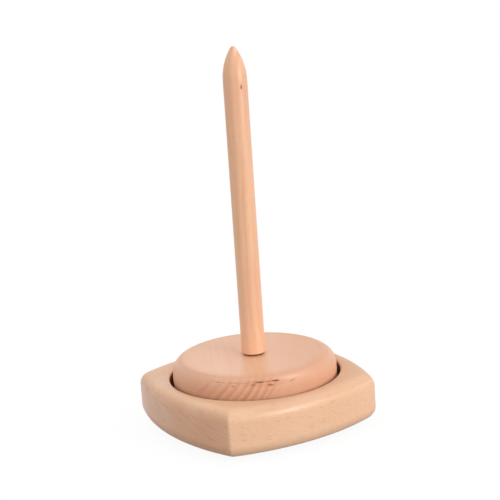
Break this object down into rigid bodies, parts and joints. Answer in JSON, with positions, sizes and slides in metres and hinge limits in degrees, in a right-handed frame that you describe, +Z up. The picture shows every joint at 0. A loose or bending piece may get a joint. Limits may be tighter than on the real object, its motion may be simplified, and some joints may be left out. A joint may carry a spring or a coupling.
{
  "type": "yarn holder",
  "caption": "Wooden yarn holder: a pointed upright spindle on a round disc that turns freely on a ball bearing in a low square base with bowed sides.",
  "frame": {"origin": "on the surface that the feet stand on, on the spindle's axis", "axes": "+Z up along the spindle; X and Y run square to the base's bowed sides, and -Y is the side that faces the viewer most"},
  "size_m": [0.1034, 0.1034, 0.1923],
  "materials": {
    "base_beech": "satin",
    "disc_beech": "satin",
    "spindle_beech": "satin",
    "zinc_steel": "zinc plated",
    "insert_brass": "turned",
    "bearing_steel": "ground",
    "ball_steel": "polished",
    "pressed_steel": "pressed sheet",
    "foot_rubber": "matt"
  },
  "bodies": {
    "base": {"base_block": "base_beech", "bearing_outer_ring": "bearing_steel", "bearing_shield_upper": "pressed_steel", "bearing_shield_lower": "pressed_steel", "foot_front_left": "foot_rubber", "foot_front_right": "foot_rubber", "foot_back_right": "foot_rubber", "foot_back_left": "foot_rubber"},
    "turntable": {"turntable_disc": "disc_beech", "spindle": "spindle_beech", "spindle_stud": "zinc_steel", "spindle_insert": "insert_brass", "pivot_insert": "insert_brass", "pivot_bolt": "zinc_steel", "head_washer": "zinc_steel", "spacer_washer": "zinc_steel", "bearing_inner_ring": "bearing_steel"},
    "ball_cage": {"bearing_balls": "ball_steel", "bearing_cage_upper": "pressed_steel", "bearing_cage_lower": "pressed_steel"}
  },
  "joints": [
    {"name": "turntable_spin", "type": "hinge", "parent": "base", "child": "turntable", "pos_m": [0, 0, 0.0125], "axis": [0, 0, 1], "continuous": true},
    {"name": "cage_spin", "type": "hinge", "parent": "base", "child": "ball_cage", "pos_m": [0, 0, 0.0125], "axis": [0, 0, 1], "continuous": true}
  ],
  "couplings": [
    {"joint": "cage_spin", "follows": "turntable_spin", "ratio": 0.3677}
  ]
}
